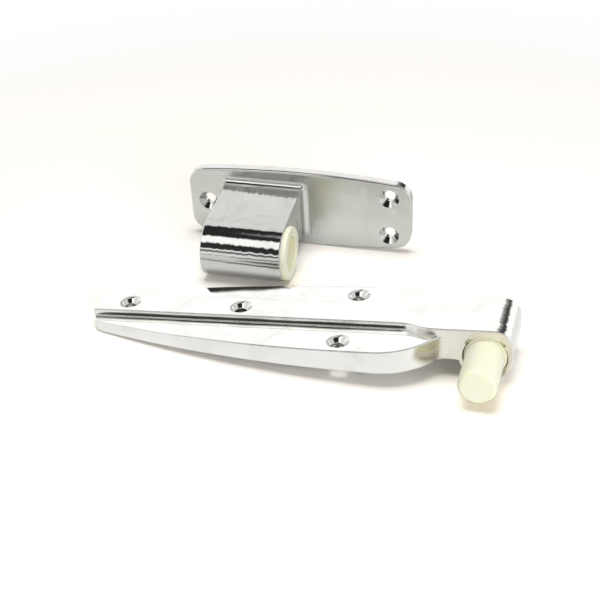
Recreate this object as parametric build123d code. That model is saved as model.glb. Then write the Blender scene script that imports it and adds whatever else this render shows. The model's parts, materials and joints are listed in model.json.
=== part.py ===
from build123d import *
import os
from math import acos, asin, atan, atan2, cos, degrees, hypot, radians, sin, sqrt, tan

# A lift-off strap hinge for a cold room or refrigerator door, lying taken apart on a table.
# All sizes are millimetres. The strap half lies in front with its pin towards the viewer,
# and the flange half stands by itself behind it.

# Strap casting. In its own frame x is 0 at the pin's axis and the tip lies at minus x,
# y runs along the pin's axis, and z is 0 on the face that is screwed to the door.
strap_length = 235.0
strap_half_width = 33.5
tip_half_width = 15.56
widest_from = 70.0
widest_to = 56.3
shoulder_radius = 36.0
tip_bulge = 3.4
tip_corner_radius = 8.0
height_at_axis = 18.7
height_at_tip = 9.9
rib_half_width = 9.5
rib_step = 3.9
neck_round = 6.0

# The neck carries the rib into the barrel, which sits off the strap's centre line.
barrel_radius = 14.4
barrel_axis_drop = 15.8
barrel_brow_radius = 9.9
barrel_brow_x = 4.5
barrel_front = 13.9
barrel_back = 21.6
neck_end = 12.0
flare_front_from = 46.0
flare_front_pull = 37.0
flare_front_ease = 35.0
flare_front_to = 26.0
flare_back_from = 70.0
flare_back_pull = 42.0
flare_back_ease = 34.0

# The strap's bore with its four keyways.
strap_bore_radius = 11.7
strap_bore_floor = 3.0
keyway_width = 4.0
keyway_radius = 13.1
keyway_count = 4

# How far the strap's sharp outer edges are broken.
edge_break = 0.6

# Screw holes for countersunk screws, the same in both castings.
screw_hole_radius = 3.4
countersink_radius = 6.3
countersink_angle = 82.0
countersink_lip = 0.45
tip_hole_from_tip = 19.4
centre_hole_spacing = 65.6
wing_hole_place = 75.2
wing_hole_offset = 24.0

# Hollows in the strap's underside, with ribs across them and a boss round each screw hole.
# The cross ribs' places are measured from the tip.
wall = 3.4
core_roof = 3.4
core_rib = 2.6
boss_radius = 8.2
core_rib_places = (32.6, 52.6, 72.6, 98.6, 122.6, 166.6)
core_end = 30.0

# Nylon hinge pin: a keyed body inside the strap's bore and a bare journal in front of it.
pin_radius = 10.2
pin_reach = 28.6
pin_tip_chamfer = 2.2
pin_body_clearance = 0.5
pin_body_recess = 0.8
key_clearance = 0.15
key_setback = 1.6

# Flange casting. In its own frame x is 0 at the barrel's open end and the barrel runs
# towards minus x, y points from the barrel's axis to the plate, and z is up the plate.
flange_barrel_radius = 16.9
flange_barrel_length = 48.5
arm_reach = 42.0
arm_top_slope = 4.2
arm_bottom_rise = 4.9
arm_fillet = 3.8
arm_edge_round = 0.7
plate_left = 72.4
plate_right = 66.6
plate_half_height = 25.2
plate_bow = 3.9
plate_corner_radius = 11.0
plate_thickness = 6.0
plate_rise = 4.6
plate_edge_fillet = 1.5
single_hole_place = 60.6
pair_hole_place = 53.0
pair_hole_offset = 12.9
arm_core_wall = 5.0
arm_core_web = 3.0

# Nylon bush pressed into the flange's barrel, with a collar that carries the door.
bush_running_gap = 0.08
bush_wall = 3.0
bush_depth = 38.0
bush_fit_gap = 0.05
collar_radius = 16.1
collar_thickness = 3.1
collar_chamfer = 0.7
bush_mouth_chamfer = 0.5

# How the two halves lie on the table: the flange's barrel end from the strap's pin axis,
# and how far the flange is turned from the strap's direction.
flange_place_x = -128.4
flange_place_y = 65.2
flange_turn = 1.3

# Worked out from the sizes above.
tip_x = -(strap_length - barrel_radius)
side_run = -tip_x - tip_bulge - widest_from
side_fall = strap_half_width - tip_half_width
strap_side_radius = (side_run**2 + side_fall**2) / (2 * side_fall)
top_slope = (height_at_axis - height_at_tip) / -tip_x
axis_height = height_at_axis - barrel_axis_drop
bush_bore_radius = pin_radius + bush_running_gap
flange_bore_radius = bush_bore_radius + bush_wall
countersink_depth = (countersink_radius - screw_hole_radius) / tan(radians(countersink_angle / 2))
far = 400.0
clear = 5.0
tiny = 0.05


def side_half_width(x):
    """Half width of the strap's bowed long edge at x, towards the tip from its widest place."""
    run = x + widest_from
    return strap_half_width - (strap_side_radius - sqrt(strap_side_radius**2 - run**2))


def below_plane(height_at_zero, slope):
    """A block with its top on the plane z = height_at_zero + slope x, to cut others with."""
    low, high = height_at_zero - slope * far, height_at_zero + slope * far
    outline = Polyline((-far, -far), (far, -far), (far, high), (-far, low), close=True)
    return extrude(Plane.XZ * make_face(outline), amount=far / 2, both=True)


def strap_plan():
    """Outline of the whole strap seen from above, without the neck."""
    tip_edge_x = tip_x + tip_bulge
    tip_half = side_half_width(tip_edge_x)
    middle_x = (tip_edge_x - widest_from) / 2
    shoulder_y = strap_half_width - shoulder_radius
    end_x = -widest_to + sqrt(shoulder_radius**2 - (barrel_front - shoulder_y) ** 2)
    turn = radians(30)
    half_x = -widest_to + shoulder_radius * sin(turn)
    half_y = shoulder_y + shoulder_radius * cos(turn)
    edges = []
    for side in (1, -1):
        edges += [
            ThreePointArc(
                (tip_edge_x, side * tip_half),
                (middle_x, side * side_half_width(middle_x)),
                (-widest_from, side * strap_half_width),
            ),
            Line((-widest_from, side * strap_half_width), (-widest_to, side * strap_half_width)),
            ThreePointArc(
                (-widest_to, side * strap_half_width),
                (half_x, side * half_y),
                (end_x, side * barrel_front),
            ),
        ]
    edges.append(ThreePointArc((tip_edge_x, tip_half), (tip_x, 0), (tip_edge_x, -tip_half)))
    edges.append(Line((end_x, barrel_front), (end_x, -barrel_front)))
    plan = make_face(edges)
    tip_corners = [v for v in plan.vertices() if v.X < tip_edge_x + 1]
    return fillet(tip_corners, tip_corner_radius)


def rib_plan():
    """Outline of the raised rib, flaring into the neck and ending at the barrel."""
    w = rib_half_width
    start = tip_x - clear
    edges = [
        Line((start, w), (start, -w)),
        Line((start, -w), (-flare_front_from, -w)),
        Bezier(
            (-flare_front_from, -w),
            (-flare_front_pull, -w),
            (-flare_front_ease, -barrel_front),
            (-flare_front_to, -barrel_front),
        ),
        Line((-flare_front_to, -barrel_front), (-neck_end, -barrel_front)),
        Line((-neck_end, -barrel_front), (-neck_end, barrel_back)),
        Bezier(
            (-neck_end, barrel_back),
            (-flare_back_ease, barrel_back),
            (-flare_back_pull, w),
            (-flare_back_from, w),
        ),
        Line((-flare_back_from, w), (start, w)),
    ]
    beyond = Pos(-widest_to + far / 2, 0) * Rectangle(far, far)
    return make_face(edges) & (strap_plan() + beyond)


def on_top(edge, drop):
    """True for an edge that lies in the sloping plane that is drop below the rib's top."""
    point = edge.center()
    return abs(point.Z - (height_at_axis - drop + top_slope * point.X)) < tiny


def make_wings():
    """The strap's wings with their top edge broken."""
    wings = extrude(strap_plan(), amount=far / 4) & below_plane(height_at_axis - rib_step, top_slope)
    return chamfer([e for e in wings.edges() if on_top(e, rib_step)], edge_break)


def make_rib():
    """The raised rib and the neck, their top edge broken."""
    rib = extrude(rib_plan(), amount=far / 4) & below_plane(height_at_axis, top_slope)
    rim = [e for e in rib.edges() if on_top(e, 0) and e.center().X < -neck_end - tiny]
    return chamfer(rim, edge_break)


def make_barrel():
    """The strap's barrel: round below, with a flatter brow that runs on from the rib's top."""
    lean = atan(top_slope)
    x, r = barrel_brow_x, barrel_brow_radius
    z = height_at_axis + top_slope * x - r / cos(lean)
    touch = (x - r * sin(lean), z + r * cos(lean))
    turn = radians(45)
    brow = (x + r * sin(turn), z + r * cos(turn))
    left_top = (-neck_end, height_at_axis - top_slope * neck_end)
    left_low = (-neck_end, axis_height + sqrt(barrel_radius**2 - neck_end**2))
    sweep = degrees(asin((left_low[1] - axis_height) / barrel_radius)) / 2
    side = (-barrel_radius * cos(radians(sweep)), axis_height + barrel_radius * sin(radians(sweep)))
    outline = [
        Line(left_top, touch),
        ThreePointArc(touch, brow, (barrel_radius, z)),
        Line((barrel_radius, z), (barrel_radius, axis_height)),
        ThreePointArc(
            (barrel_radius, axis_height),
            (0, axis_height - barrel_radius),
            (-barrel_radius, axis_height),
        ),
        ThreePointArc((-barrel_radius, axis_height), side, left_low),
        Line(left_low, left_top),
    ]
    face = Plane.XZ.offset(barrel_front) * make_face(outline)
    barrel = extrude(face, amount=-(barrel_front + barrel_back))
    ends = barrel.edges().filter_by_position(Axis.Y, -barrel_front - tiny, -barrel_front + tiny)
    ends += barrel.edges().filter_by_position(Axis.Y, barrel_back - tiny, barrel_back + tiny)
    return chamfer([e for e in ends if e.center().X > tiny - neck_end], edge_break)


def make_neck_webs():
    """The two webs that round the upright inner corners between the wings and the neck."""
    outline = strap_plan() + rib_plan()
    corners = [v for v in outline.vertices() if -widest_to < v.X < -neck_end - tiny]
    corners = [v for v in corners if abs(v.Y) < shoulder_radius]
    webs = extrude(fillet(corners, neck_round) - outline, amount=far / 4)
    return webs & below_plane(height_at_axis - rib_step - 2 * edge_break, top_slope)


def screw_cutter():
    """A screw hole along z with its countersink opening upwards at z = 0."""
    lip = countersink_radius + countersink_lip
    outline = make_face(
        Polyline(
            (0, -far / 4),
            (screw_hole_radius, -far / 4),
            (screw_hole_radius, -countersink_depth),
            (countersink_radius, 0),
            (lip, countersink_lip / 2),
            (lip, clear),
            (0, clear),
            close=True,
        )
    )
    return revolve(Plane.XZ * outline, Axis.Z)


def strap_core():
    """Hollows under the strap, leaving walls, cross ribs and a boss at each screw."""
    inside = offset(strap_plan(), -wall)
    inside -= Pos(-core_end + far / 2, 0) * Rectangle(far, far)
    for x in core_rib_places:
        inside -= Pos(tip_x + x, 0) * Rectangle(core_rib, far)
    for x, y in screw_places():
        inside -= Pos(x, y) * Circle(boss_radius)
    spine = Rectangle(far * 2, 2 * rib_half_width - 2 * wall)
    wings = inside - Rectangle(far * 2, 2 * rib_half_width)
    deep = extrude(inside & spine, amount=far / 4) & below_plane(height_at_axis - core_roof, top_slope)
    shallow = extrude(wings, amount=far / 4)
    shallow &= below_plane(height_at_axis - rib_step - core_roof, top_slope)
    return deep + shallow


def screw_places():
    """Centres of the strap's screw holes in plan."""
    first = tip_x + tip_hole_from_tip
    places = [(first, 0), (first + centre_hole_spacing, 0)]
    return places + [(-wing_hole_place, side * wing_hole_offset) for side in (1, -1)]


def make_strap():
    """The chromed strap: wings, raised rib, neck and barrel in one casting."""
    strap = make_wings() + make_rib() + make_barrel() + make_neck_webs()
    for x, y in screw_places():
        level = height_at_axis + top_slope * x - (rib_step if y else 0)
        strap -= Pos(x, y, level) * screw_cutter()
    strap -= strap_core()
    bore_length = barrel_front + barrel_back - strap_bore_floor
    bore_plane = Plane(origin=(0, -barrel_front, axis_height), x_dir=(1, 0, 0), z_dir=(0, 1, 0))
    strap -= extrude(bore_plane * Circle(strap_bore_radius), amount=bore_length)
    for place in PolarLocations(0, keyway_count, start_angle=180 / keyway_count):
        slot = place * Pos(keyway_radius / 2, 0) * Rectangle(keyway_radius, keyway_width)
        slot &= Circle(keyway_radius)
        strap -= extrude(bore_plane * slot, amount=bore_length)
    return strap


def make_pin():
    """The white nylon pin: a keyed body that sits in the strap and the journal in front."""
    body_radius = strap_bore_radius - pin_body_clearance
    body_front = -barrel_front + pin_body_recess
    body_back = barrel_back - strap_bore_floor
    tip_y = -barrel_front - pin_reach
    outline = make_face(
        Polyline(
            (0, tip_y),
            (pin_radius - pin_tip_chamfer, tip_y),
            (pin_radius, tip_y + pin_tip_chamfer),
            (pin_radius, body_front),
            (body_radius, body_front),
            (body_radius, body_back),
            (0, body_back),
            close=True,
        )
    )
    pin = revolve(outline, Axis.Y)
    key_plane = Plane(origin=(0, body_front + key_setback, 0), x_dir=(1, 0, 0), z_dir=(0, 1, 0))
    for place in PolarLocations(0, keyway_count, start_angle=180 / keyway_count):
        reach = keyway_radius - key_clearance
        key = place * Pos(reach / 2, 0) * Rectangle(reach, keyway_width - 2 * key_clearance)
        key &= Circle(reach)
        pin += extrude(key_plane * key, amount=body_back - body_front - key_setback)
    return Pos(0, 0, axis_height) * pin


def plate_outline():
    """The flange plate seen from the front: long edges bowed outwards, corners rounded."""
    middle = (plate_right - plate_left) / 2
    low, high = -plate_left, plate_right
    end = plate_half_height - plate_bow
    edges = [
        ThreePointArc((low, end), (middle, plate_half_height), (high, end)),
        Line((high, end), (high, -end)),
        ThreePointArc((high, -end), (middle, -plate_half_height), (low, -end)),
        Line((low, -end), (low, end)),
    ]
    face = make_face(edges)
    return Pos(0, plate_rise) * fillet(face.vertices(), plate_corner_radius)


def arm_outline():
    """Side profile of the arm, from the barrel's axis to the plate, in the y-z plane."""
    rise = tan(radians(arm_top_slope))
    touch = radians(arm_top_slope)
    top = (-flange_barrel_radius * sin(touch), flange_barrel_radius * cos(touch))
    top_at_plate = top[1] + (arm_reach - top[0]) * rise
    return Polyline(
        top,
        (arm_reach + 1, top_at_plate + rise),
        (arm_reach + 1, -flange_barrel_radius + arm_bottom_rise),
        (0, -flange_barrel_radius),
        (0, 0),
        close=True,
    )


def make_flange():
    """The chromed flange: plate, arm and barrel in one casting."""
    plate_plane = Plane(origin=(0, arm_reach, 0), x_dir=(1, 0, 0), z_dir=(0, -1, 0))
    plate = extrude(plate_plane * plate_outline(), amount=-plate_thickness)
    front_rim = plate.faces().sort_by(Axis.Y)[0].edges()
    plate = fillet(front_rim, plate_edge_fillet)
    side = Plane(origin=(0, 0, 0), x_dir=(0, 1, 0), z_dir=(1, 0, 0))
    arm = extrude(side * make_face(arm_outline()), amount=-flange_barrel_length)
    arm += extrude(side * Circle(flange_barrel_radius), amount=-flange_barrel_length)
    ends = [e for e in arm.edges() if abs((e.end_point() - e.start_point()).X) < tiny]
    arm = fillet([e for e in ends if e.center().Y < arm_reach], arm_edge_round)
    flange = plate + arm
    on_plate = flange.edges().filter_by_position(Axis.Y, arm_reach - tiny, arm_reach + tiny)
    root = on_plate.filter_by_position(Axis.X, -flange_barrel_length - tiny, tiny)
    room = plate_half_height - plate_bow / 2 - plate_rise - plate_edge_fillet
    room -= flange_barrel_radius - arm_bottom_rise
    flange = fillet([e for e in root if e.length < flange_barrel_length + tiny], min(arm_fillet, room))
    places = [(pair_hole_place, side * pair_hole_offset) for side in (1, -1)]
    for x, z in places + [(-single_hole_place, 0)]:
        flange -= Pos(x, arm_reach, z + plate_rise) * Rot(X=90) * screw_cutter()
    flange -= extrude(side * Circle(flange_bore_radius), amount=-bush_depth)
    return flange - arm_core()


def arm_core():
    """Two hollows from the plate's back into the arm, with a web between them."""
    rise = tan(radians(arm_top_slope))
    front = flange_bore_radius + arm_core_wall
    back = arm_reach + plate_thickness
    height = 2 * flange_barrel_radius - 2 * arm_core_wall
    width = (flange_barrel_length - 2 * arm_core_wall - arm_core_web) / 2
    block = None
    for side in (0, 1):
        x = -arm_core_wall - width / 2 - side * (width + arm_core_web)
        box = Pos(x, (front + back) / 2, rise * arm_reach / 3) * Box(width, back - front, height)
        block = box if block is None else block + box
    return block


def make_bush():
    """The white nylon bush in the flange's barrel, with its collar on the barrel's end."""
    outer = flange_bore_radius - bush_fit_gap
    outline = make_face(
        Polyline(
            (bush_bore_radius, -bush_depth),
            (outer, -bush_depth),
            (outer, 0),
            (collar_radius, 0),
            (collar_radius, collar_thickness - collar_chamfer),
            (collar_radius - collar_chamfer, collar_thickness),
            (bush_bore_radius + bush_mouth_chamfer, collar_thickness),
            (bush_bore_radius, collar_thickness - bush_mouth_chamfer),
            close=True,
        )
    )
    return Rot(Y=90) * revolve(Plane.XZ * outline, Axis.Z)


def strap_place():
    """The strap tilted about its pin axis until tip and barrel both touch the table."""
    reach = hypot(tip_x, axis_height)
    tilt = degrees(asin(barrel_radius / reach) - atan2(axis_height, -tip_x))
    return Pos(0, 0, barrel_radius) * Rot(Y=-tilt) * Pos(0, 0, -axis_height)


def flange_place():
    """The flange leaning until its barrel and the plate's lower edge both touch the table."""
    drop = plate_half_height - plate_rise
    lean = degrees(acos(flange_barrel_radius / hypot(drop, arm_reach)) - atan2(arm_reach, drop))
    return Pos(flange_place_x, flange_place_y, flange_barrel_radius) * Rot(Z=flange_turn) * Rot(X=lean)


def build():
    """All pieces at their places, with the origin on the table under the middle of the whole."""
    in_strap, in_flange = strap_place(), flange_place()
    parts = {
        "strap": in_strap * make_strap(),
        "hinge_pin": in_strap * make_pin(),
        "flange": in_flange * make_flange(),
        "flange_bush": in_flange * make_bush(),
    }
    box = Compound(children=[Compound(p.solids()) for p in parts.values()]).bounding_box()
    centre = Pos(-box.center().X, -box.center().Y, -box.min.Z)
    return {name: centre * piece for name, piece in parts.items()}


def main():
    os.makedirs("parts", exist_ok=True)
    for name, piece in build().items():
        export_step(Compound(piece.solids()), f"parts/{name}.step")


main()
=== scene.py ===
import json
from math import degrees, pi, radians

import bmesh
import bpy
from mathutils import Matrix, Vector


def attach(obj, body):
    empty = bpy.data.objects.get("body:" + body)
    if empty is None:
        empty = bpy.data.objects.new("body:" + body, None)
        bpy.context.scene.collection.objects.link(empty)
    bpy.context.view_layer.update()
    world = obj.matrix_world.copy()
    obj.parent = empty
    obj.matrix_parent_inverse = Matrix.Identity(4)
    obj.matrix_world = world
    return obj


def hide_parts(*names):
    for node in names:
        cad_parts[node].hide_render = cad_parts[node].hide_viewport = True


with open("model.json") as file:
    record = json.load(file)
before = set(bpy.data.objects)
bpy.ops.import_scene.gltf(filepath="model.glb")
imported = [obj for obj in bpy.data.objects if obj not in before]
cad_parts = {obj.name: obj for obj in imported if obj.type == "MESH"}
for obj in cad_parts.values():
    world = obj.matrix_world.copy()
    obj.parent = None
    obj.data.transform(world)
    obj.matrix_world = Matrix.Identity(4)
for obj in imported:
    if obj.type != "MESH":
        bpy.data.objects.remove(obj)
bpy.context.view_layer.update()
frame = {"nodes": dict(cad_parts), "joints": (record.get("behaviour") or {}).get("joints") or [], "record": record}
bpy.ops.object.select_all(action="DESELECT")

MM = 0.001  # a millimetre, in metres
RADIAN = 1 / pi  # a radian, as a share of half a turn
WHITE = (1, 1, 1, 1)

# The camera is placed from the pin's axis, about which the strap turns.
PIN_AXIS = Vector(frame["joints"][0]["pos_m"])
CAMERA_RIGHT = 58.9 * MM
CAMERA_BACK = 551.3 * MM
CAMERA_HEIGHT = 371.6 * MM
CAMERA_AZIMUTH = 16.27
CAMERA_ELEVATION = 31.0
CAMERA_ROLL = -1.5
LENS = 75.0

# The chrome: the smudges' levels at which a casting has its three tones, the tones of each casting,
# the painted shade on sides that face +X, and the satin faces, whose colour is partly a painted reflection.
# A facing is the cosine of the angle between a surface's normal and the direction that is meant.
SMUDGE_LEVELS = (0.35, 0.5, 0.7)
STRAP_TONES = ((0.80, 0.80, 0.765), (0.87, 0.865, 0.84), (0.90, 0.89, 0.87))
# The flange's tones, darker than the strap's on the same plating, are painted shade.
FLANGE_SHADED_TONES = ((0.63, 0.635, 0.60), (0.70, 0.70, 0.68), (0.73, 0.725, 0.715))
PAINTED_SHADE_COLOUR = (0.40, 0.40, 0.385, 1)
PAINTED_SHADE_FACING = (0.85, 0.95)
SATIN_FACING = 0.85
SATIN_SHARE = 0.7

# The chrome's rounded edges, polishing marks, swell and smudges.
BEVEL_SAMPLES = 8
MARKS_DETAIL = 3.0
SWELL_SCALE = 45.0
SWELL_TURN = (0.03, 0.03, 0.03)
SMUDGE_SCALE = 38.0
SMUDGE_DETAIL = 4.0
SMUDGE_DISTORTION = 1.2

# The nylon, which lets light a little way in, with painted shade making it deeper in colour on its underside.
NYLON_TONES = [(0.3, (0.98, 0.955, 0.70)), (0.7, (0.99, 0.98, 0.79))]
NYLON_PAINTED_SHADE = (0.90, 0.82, 0.48, 1)
UNDER_SHADE_FACING = (0.25, 0.75)
UNDER_SHADE_SHARE = 0.8
CLOUD_SCALE = 120.0
LET_IN = 0.35
LET_IN_COLOURS = (1.0, 0.8, 0.4)
LET_IN_DEPTH = 3.0 * MM

# The table, and how far from the middle its far, plainly white part begins and is full.
FLOOR_SIZE = 6.0
FLOOR_COLOUR = (0.93, 0.925, 0.915, 1)
FLOOR_SEEN = (1.24, 1.175, 1.11)
FLOOR_AWAY = (0.17, 0.6)
FLOOR_GRAIN = 60.0

# What the chrome shows, by how far a direction has turned from straight ahead over the top
# and down towards the viewer, as a share of half a turn.
STUDIO_BANDS = [
    (0.0, 0.82),
    (0.195, 0.82),
    (0.22, (0.86, 0.80, 0.76)),
    (0.25, 0.66),
    (0.34, 0.60),
    (0.37, 0.02),
    (0.61, 0.02),
    (0.64, 0.95),
    (0.76, 0.95),
    (0.79, 0.02),
    (0.90, 0.03),
    (0.915, 0.75),
    (0.93, 0.75),
    (0.945, 0.06),
    (0.97, 0.08),
    (0.985, 0.55),
    (1.0, 0.55),
]
STUDIO_LEVEL = 1.45

# The bands' overhead part reaches only so far sideways, from hard left (0) to hard right (1).
OVERHEAD_TURN = (0.24, 0.30)
BAND_REACH = [(0.20, 0.0), (0.27, 1.0), (0.43, 1.0), (0.48, 0.0)]

# Past it, and in a disc straight above, the studio is plain, by the height of a direction.
PLAIN_SKY = [(0.0, 0.60), (0.25, 0.70), (0.5, 0.52), (0.8, 0.62), (1.0, 0.50)]
ZENITH_HEIGHT = (0.962, 0.982)

# A dark card at the right, by how far a direction has swung from straight ahead, as a share
# of half a turn, plus a half. It begins above a height.
SIDE_CARD = [
    (0.495, 1.0),
    (0.53, 0.35),
    (0.60, 0.05),
    (0.645, 0.06),
    (0.672, 0.55),
    (0.682, 0.2),
    (0.70, 0.85),
]
SIDE_CARD_HEIGHT = (0.30, 0.38)

# A dark card over and behind the camera, by the turn again. It begins above a height, and to
# the right of a place that is a little left of straight ahead.
RIM_CARD = [(0.60, 1.0), (0.63, 0.03), (0.77, 0.03), (0.79, 1.0)]
RIM_CARD_HEIGHT = (0.52, 0.58)
RIM_CARD_RIGHT = (-0.19, -0.13)

# The studio's streaks, and how far they shift what they shift.
STREAK_SCALE = 7.0
TURN_STREAKS = 0.03
SWING_STREAKS = 0.02
SKY_STREAKS = 0.1

# The room's even light is a little warm, the lamps are a little cool.
ROOM_TINT = (1.0, 0.92, 0.78, 1)
ROOM_LEVEL = 0.20
LAMP_TINT = (0.95, 0.98, 1.0)

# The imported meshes: how near points are one, how flat faces are one, how far the larger faces
# lead the shading, at most 100, and the ranges of degrees in which an edge stays sharp.
SAME_POINT = 0.001 * MM
SAME_FACE = radians(0.4)
LARGE_FACE_LEAD = 100
STRAP_SHARP = [(15, 42.5), (54, 180)]
NYLON_SHARP = [(54, 180)]


class Value:
    """A socket inside a material, which Python's operators work on by adding Math nodes."""

    def __init__(self, finish, socket):
        self.finish = finish
        self.socket = socket

    def __add__(self, other):
        return self.finish.math("ADD", self, other)

    def __radd__(self, other):
        return self.finish.math("ADD", other, self)

    def __sub__(self, other):
        return self.finish.math("SUBTRACT", self, other)

    def __rsub__(self, other):
        return self.finish.math("SUBTRACT", other, self)

    def __mul__(self, other):
        return self.finish.math("MULTIPLY", self, other)

    def __rmul__(self, other):
        return self.finish.math("MULTIPLY", other, self)


class Finish:
    """The nodes of one material or of the world."""

    def __init__(self, owner):
        owner.use_nodes = True
        self.tree = owner.node_tree
        self.tree.nodes.clear()

    def node(self, kind, settings=None, inputs=None, output=0):
        """Adds a node: its settings first, then the values or links of its sockets."""
        made = self.tree.nodes.new(kind)
        for name, setting in (settings or {}).items():
            if name == "stops":
                self.set_stops(made.color_ramp, setting)
            else:
                setattr(made, name, setting)
        for name, value in (inputs or {}).items():
            if isinstance(value, Value):
                self.tree.links.new(value.socket, made.inputs[name])
            else:
                made.inputs[name].default_value = value
        if not made.outputs:
            return None
        return Value(self, made.outputs[output])

    def set_stops(self, ramp, stops):
        """Gives a colour ramp its stops, each a place and a colour or grey level."""
        while len(ramp.elements) < len(stops):
            ramp.elements.new(1.0)
        for element, (place, colour) in zip(ramp.elements, stops):
            element.position = place
            grey = isinstance(colour, float)
            element.color = (colour, colour, colour, 1) if grey else (*colour, 1)

    def math(self, operation, *operands):
        """Works on numbers."""
        return self.node("ShaderNodeMath", {"operation": operation}, dict(enumerate(operands)))

    def vector(self, operation, *operands, output=0):
        """Works on vectors."""
        inputs = dict(enumerate(operands))
        return self.node("ShaderNodeVectorMath", {"operation": operation}, inputs, output)

    def scaled(self, vector, size):
        """A vector or colour times a number."""
        return self.node("ShaderNodeVectorMath", {"operation": "SCALE"}, {0: vector, "Scale": size})

    def dot(self, first, second):
        """How far one vector goes along the other."""
        return self.vector("DOT_PRODUCT", first, second, output="Value")

    def coordinates(self, kind):
        """Where a point is, or where its surface faces."""
        return self.node("ShaderNodeTexCoord", output=kind)

    def noise(self, place, scale, detail, distortion=0.0, output=0):
        """Soft clouds from 0 to 1, as a number or, from the Color output, as a vector."""
        inputs = {"Vector": place, "Scale": scale, "Detail": detail, "Distortion": distortion}
        return self.node("ShaderNodeTexNoise", None, inputs, output)

    def shift(self, place, scale, detail, reach):
        """A vector noise about zero."""
        cloud = self.noise(place, scale, detail, output="Color")
        return self.vector("MULTIPLY", self.vector("SUBTRACT", cloud, (0.5, 0.5, 0.5)), reach)

    def rise(self, value, span, least=0.0, settings=None):
        """Rises from its least to 1 while the value goes through the span."""
        inputs = {"Value": value, "From Min": span[0], "From Max": span[1], "To Min": least}
        return self.node("ShaderNodeMapRange", settings, inputs)

    def ramp(self, value, stops):
        """The stops' colour at the value."""
        return self.node("ShaderNodeValToRGB", {"stops": stops}, {"Fac": value})

    def blend(self, share, first, second):
        """Two colours, with the second's share. The node's colour sockets are 6, 7 and 2."""
        inputs = {0: share, 6: first, 7: second}
        return self.node("ShaderNodeMix", {"data_type": "RGBA"}, inputs, output=2)

    def mixed(self, share, first, second):
        """Two shaders, with the second's share."""
        return self.node("ShaderNodeMixShader", None, {0: share, 1: first, 2: second})

    def glow(self, kind, colour, strength):
        """A shader that gives light: Emission or Background."""
        return self.node(kind, None, {"Color": colour, "Strength": strength})

    def ray(self, kind):
        """1 for the kind of ray that is named, else 0."""
        return self.node("ShaderNodeLightPath", output=kind)


def chrome_finish(
    name, *, tones, edge, side_painted_shade, grain, turn, marks_span=(0.0, 1.0), marks_least=1.0,
    satin_face, satin_depths, satin_and_reflection_colour,
):
    """Bright chrome on a polished die casting: mirror-like, with polishing marks and smudges.

    tones are the colours at the smudge levels, edge the radius that edges are rounded by and
    side_painted_shade the share of the painted shade colour on sides that face +X. grain is the fineness of
    the marks along each axis and turn their strength, of which marks_least is left where X is
    below marks_span. What faces the viewer between two depths behind a mount is satin: rougher, and
    tinted by satin_and_reflection_colour, which is partly a painted reflection.
    """
    material = bpy.data.materials.new(name)
    finish = Finish(material)
    place = finish.coordinates("Object")
    surface = finish.node("ShaderNodeBevel", {"samples": BEVEL_SAMPLES}, {"Radius": edge})

    # The polishing marks and a soft swell turn the surface a little.
    marks = finish.shift(finish.vector("MULTIPLY", place, grain), 1.0, MARKS_DETAIL, turn)
    along = finish.node("ShaderNodeSeparateXYZ", None, {"Vector": place}, output="X")
    marks = finish.scaled(marks, finish.rise(along, marks_span, marks_least))
    swell = finish.shift(place, SWELL_SCALE, 1.0, SWELL_TURN)
    turned = finish.vector("ADD", surface, finish.vector("ADD", marks, swell))
    turned = finish.vector("NORMALIZE", turned)

    # Smudges tint it in soft clouds.
    smudge = finish.noise(place, SMUDGE_SCALE, SMUDGE_DETAIL, SMUDGE_DISTORTION)
    colour = finish.ramp(smudge, list(zip(SMUDGE_LEVELS, tones)))

    # Painted shade: sides that face +X are darker, standing in for the dark reflections they show.
    normal = finish.coordinates("Normal")
    side = finish.rise(finish.dot(normal, (1, 0, 0)), PAINTED_SHADE_FACING)
    colour = finish.blend(side_painted_shade * side, colour, PAINTED_SHADE_COLOUR)

    # The satin face: rougher, and tinted by a colour that is partly a painted reflection of the warm floor in
    # front.
    mount = next(m for m in frame["record"]["mounts"] if m["name"] == satin_face)
    behind = finish.vector("SUBTRACT", tuple(mount["pos_m"]), place)
    depth = finish.dot(behind, tuple(mount["axis"]))
    shallow, deep = satin_depths
    near = finish.math("COMPARE", depth, (shallow + deep) / 2, (deep - shallow) / 2)
    facing = finish.dot(normal, (0, -1, 0))
    satin = near * finish.math("GREATER_THAN", facing, SATIN_FACING)
    colour = finish.blend(SATIN_SHARE * satin, colour, satin_and_reflection_colour)

    shader = finish.node(
        "ShaderNodeBsdfPrincipled",
        None,
        {
            "Base Color": colour,
            "Metallic": 1.0,
            "Roughness": 0.12 - 0.10 * smudge + satin * (0.40 - 0.3 * smudge),
            "Normal": turned,
        },
    )
    finish.node("ShaderNodeOutputMaterial", None, {"Surface": shader})
    return material


def nylon_finish():
    """Natural nylon, a warm white that lets a little light through."""
    material = bpy.data.materials.new("natural_nylon")
    finish = Finish(material)
    cloud = finish.noise(finish.coordinates("Object"), CLOUD_SCALE, 3.0)
    # Painted shade: faces turned downwards are deeper in colour.
    down = finish.dot(finish.coordinates("Normal"), (0, 0, -1))
    under_shade = UNDER_SHADE_SHARE * finish.rise(down, UNDER_SHADE_FACING)
    shader = finish.node(
        "ShaderNodeBsdfPrincipled",
        None,
        {
            "Base Color": finish.blend(under_shade, finish.ramp(cloud, NYLON_TONES), NYLON_PAINTED_SHADE),
            "Roughness": 0.32 + 0.1 * cloud,
            "Subsurface Weight": LET_IN,
            "Subsurface Radius": LET_IN_COLOURS,
            "Subsurface Scale": LET_IN_DEPTH,
        },
    )
    finish.node("ShaderNodeOutputMaterial", None, {"Surface": shader})
    return material


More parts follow.
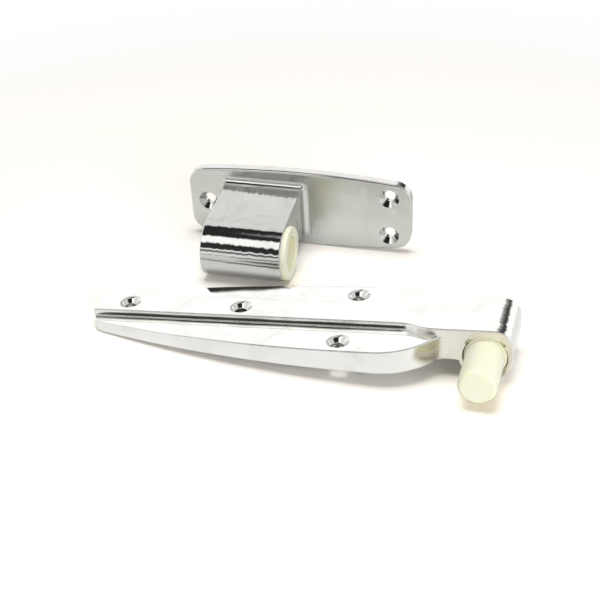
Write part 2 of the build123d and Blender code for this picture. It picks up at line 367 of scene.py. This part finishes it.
def table_finish():
    """A matt white table top.

    The camera sees it a little lighter near the object, and camera, chrome and glass see it
    plainly white further away.
    """
    material = bpy.data.materials.new("table_top")
    finish = Finish(material)
    place = finish.coordinates("Object")
    grain = finish.noise(place, FLOOR_GRAIN, 2.0)
    bright = finish.scaled(FLOOR_SEEN, 0.99 + 0.02 * grain)
    shown = finish.node("ShaderNodeBsdfDiffuse", None, {"Color": bright})
    matt = finish.node("ShaderNodeBsdfDiffuse", None, {"Color": FLOOR_COLOUR})
    camera = finish.ray("Is Camera Ray")
    near = finish.mixed(camera, matt, shown)
    reach = finish.vector("LENGTH", place, output="Value")
    away = finish.rise(reach, FLOOR_AWAY, settings={"interpolation_type": "SMOOTHSTEP"})
    far = finish.glow("ShaderNodeEmission", WHITE, 1.0)
    seen = camera + finish.ray("Is Glossy Ray") + finish.ray("Is Transmission Ray")
    table = finish.mixed(seen * away, near, far)
    finish.node("ShaderNodeOutputMaterial", None, {"Surface": table})
    return material


def studio_colour(finish):
    """What the chrome sees: light and dark bands, a plain sky beside them, and dark cards."""
    direction = finish.coordinates("Generated")
    parts = finish.node("ShaderNodeSeparateXYZ", None, {"Vector": direction})
    right, ahead, up = (Value(finish, socket) for socket in parts.socket.node.outputs)
    streaks = finish.noise(direction, STREAK_SCALE, 3.0) - 0.5
    turn = finish.math("ARCTAN2", up, ahead) * RADIAN + TURN_STREAKS * streaks
    swing = finish.math("ARCTAN2", right, ahead) * RADIAN + SWING_STREAKS * streaks

    within = finish.ramp(0.5 + 0.5 * right + SWING_STREAKS * streaks, BAND_REACH)
    overhead = finish.rise(turn, OVERHEAD_TURN)
    zenith = finish.rise(up, ZENITH_HEIGHT)
    banded = (1 - overhead * (1 - within)) * (1 - zenith)
    plain = finish.ramp(up + SKY_STREAKS * streaks, PLAIN_SKY)
    bands = finish.blend(banded, plain, finish.ramp(turn, STUDIO_BANDS))

    high = finish.rise(up, SIDE_CARD_HEIGHT)
    side_card = 1 - high * (1 - finish.ramp(swing + 0.5, SIDE_CARD))
    reach = finish.rise(right, RIM_CARD_RIGHT) * finish.rise(up, RIM_CARD_HEIGHT)
    rim_card = 1 - reach * (1 - finish.ramp(turn, RIM_CARD))
    return finish.scaled(bands, side_card * rim_card)


def studio_world():
    """White all round for the camera, soft even light, and the studio that the chrome shows."""
    world = bpy.data.worlds.new("studio")
    bpy.context.scene.world = world
    finish = Finish(world)
    studio = finish.glow("ShaderNodeBackground", studio_colour(finish), STUDIO_LEVEL)
    room = finish.glow("ShaderNodeBackground", ROOM_TINT, ROOM_LEVEL)
    white = finish.glow("ShaderNodeBackground", WHITE, 1.0)
    clear = finish.ray("Is Camera Ray") + finish.ray("Is Transmission Ray")
    seen = finish.mixed(clear, finish.mixed(finish.ray("Is Glossy Ray"), room, studio), white)
    finish.node("ShaderNodeOutputWorld", None, {"Surface": seen})


def join_up(piece):
    """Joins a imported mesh's loose triangles into whole faces, which then shade smoothly."""
    bpy.ops.object.select_all(action="DESELECT")
    piece.select_set(True)
    bpy.context.view_layer.objects.active = piece
    bpy.ops.object.mode_set(mode="EDIT")
    bpy.ops.mesh.select_all(action="SELECT")
    bpy.ops.mesh.customdata_custom_splitnormals_clear()
    bpy.ops.mesh.remove_doubles(threshold=SAME_POINT)
    bpy.ops.mesh.dissolve_limited(angle_limit=SAME_FACE)
    bpy.ops.object.mode_set(mode="OBJECT")


def split_shading(piece, ranges):
    """Shades every edge smoothly but those whose faces turn by an angle in one of the ranges."""
    form = bmesh.new()
    form.from_mesh(piece.data)
    for face in form.faces:
        face.smooth = True
    for edge in form.edges:
        turn = degrees(edge.calc_face_angle(0))
        edge.smooth = not any(low < turn < high for low, high in ranges)
    form.to_mesh(piece.data)
    form.free()


def finished_copy(node, name, body, material, sharp):
    """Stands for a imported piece: its large faces shade flat, and its broken edges shade round."""
    piece = bpy.data.objects.new(name, frame["nodes"][node].data.copy())
    bpy.context.scene.collection.objects.link(piece)
    join_up(piece)
    split_shading(piece, sharp)
    weights = piece.modifiers.new("even_shading", "WEIGHTED_NORMAL")
    weights.keep_sharp = True
    weights.weight = LARGE_FACE_LEAD
    bpy.ops.object.modifier_apply(modifier=weights.name)
    piece.data.materials.clear()
    piece.data.materials.append(material)
    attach(piece, body)
    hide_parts(node)


def dress(node, material):
    """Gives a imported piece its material."""
    frame["nodes"][node].material_slots[0].material = material


def make_table():
    """The floor that the object stands on."""
    bpy.ops.mesh.primitive_plane_add(size=FLOOR_SIZE, location=(0, 0, 0))
    table = bpy.context.object
    table.name = "table_top"
    table.data.materials.append(table_finish())


def make_softbox(name, place, aim, width, depth, power):
    """A soft lamp that points at a place on the table and that the chrome doesn't show."""
    data = bpy.data.lights.new(name, "AREA")
    data.shape = "RECTANGLE"
    data.size = width
    data.size_y = depth
    data.energy = power
    data.color = LAMP_TINT
    lamp = bpy.data.objects.new(name, data)
    bpy.context.scene.collection.objects.link(lamp)
    lamp.location = place
    lamp.rotation_euler = (Vector(aim) - Vector(place)).to_track_quat("-Z", "Y").to_euler()
    lamp.visible_glossy = False


def make_camera():
    """The camera where the photograph was taken from."""
    data = bpy.data.cameras.new("camera")
    data.lens = LENS
    camera = bpy.data.objects.new("camera", data)
    bpy.context.scene.collection.objects.link(camera)
    turn = Matrix.Rotation(radians(CAMERA_AZIMUTH), 3, "Z")
    tip = Matrix.Rotation(radians(90 - CAMERA_ELEVATION), 3, "X")
    roll = Matrix.Rotation(radians(CAMERA_ROLL), 3, "Z")
    camera.rotation_euler = (turn @ tip @ roll).to_euler()
    camera.location = (PIN_AXIS.x + CAMERA_RIGHT, PIN_AXIS.y - CAMERA_BACK, CAMERA_HEIGHT)
    bpy.context.scene.camera = camera


# The strap's marks run round its barrel and hardly show elsewhere; its satin face is the
# barrel's end, behind the pin's journal.
strap_chrome = chrome_finish(
    "polished_strap_chrome",
    tones=STRAP_TONES,
    edge=1.0 * MM,
    side_painted_shade=0.1,
    grain=(60.0, 480.0, 90.0),
    turn=(0.34, 0.02, 0.04),
    marks_span=(92 * MM, 106 * MM),
    marks_least=0.06,
    satin_face="pin_journal",
    satin_depths=(10 * MM, 14 * MM),
    satin_and_reflection_colour=(0.80, 0.76, 0.68, 1),
)

# The flange's marks are all over it; its satin face is the front of its plate. Its darker tones and its strongly
# darkened +X sides are painted shade.
flange_chrome = chrome_finish(
    "polished_flange_chrome",
    tones=FLANGE_SHADED_TONES,
    edge=0.25 * MM,
    side_painted_shade=0.9,
    grain=(420.0, 90.0, 90.0),
    turn=(0.02, 0.12, 0.12),
    satin_face="flange_mounting_face",
    satin_depths=(0.0, 11.5 * MM),
    satin_and_reflection_colour=(0.715, 0.72, 0.67, 1),
)

nylon = nylon_finish()
finished_copy("strap", "strap_casting", "strap_half", strap_chrome, STRAP_SHARP)
finished_copy("hinge_pin", "nylon_pin", "strap_half", nylon, NYLON_SHARP)
finished_copy("flange_bush", "nylon_bush", "flange_half", nylon, NYLON_SHARP)
dress("flange", flange_chrome)
make_table()
studio_world()
make_softbox("softbox", place=(-0.05, -0.02, 1.2), aim=(0, 0, 0), width=0.7, depth=0.8, power=10.5)
make_softbox("fill", place=(0.70, -0.85, 0.45), aim=(0.05, 0, 0), width=0.8, depth=0.4, power=6.5)
make_camera()
bpy.context.scene.view_settings.view_transform = "Standard"
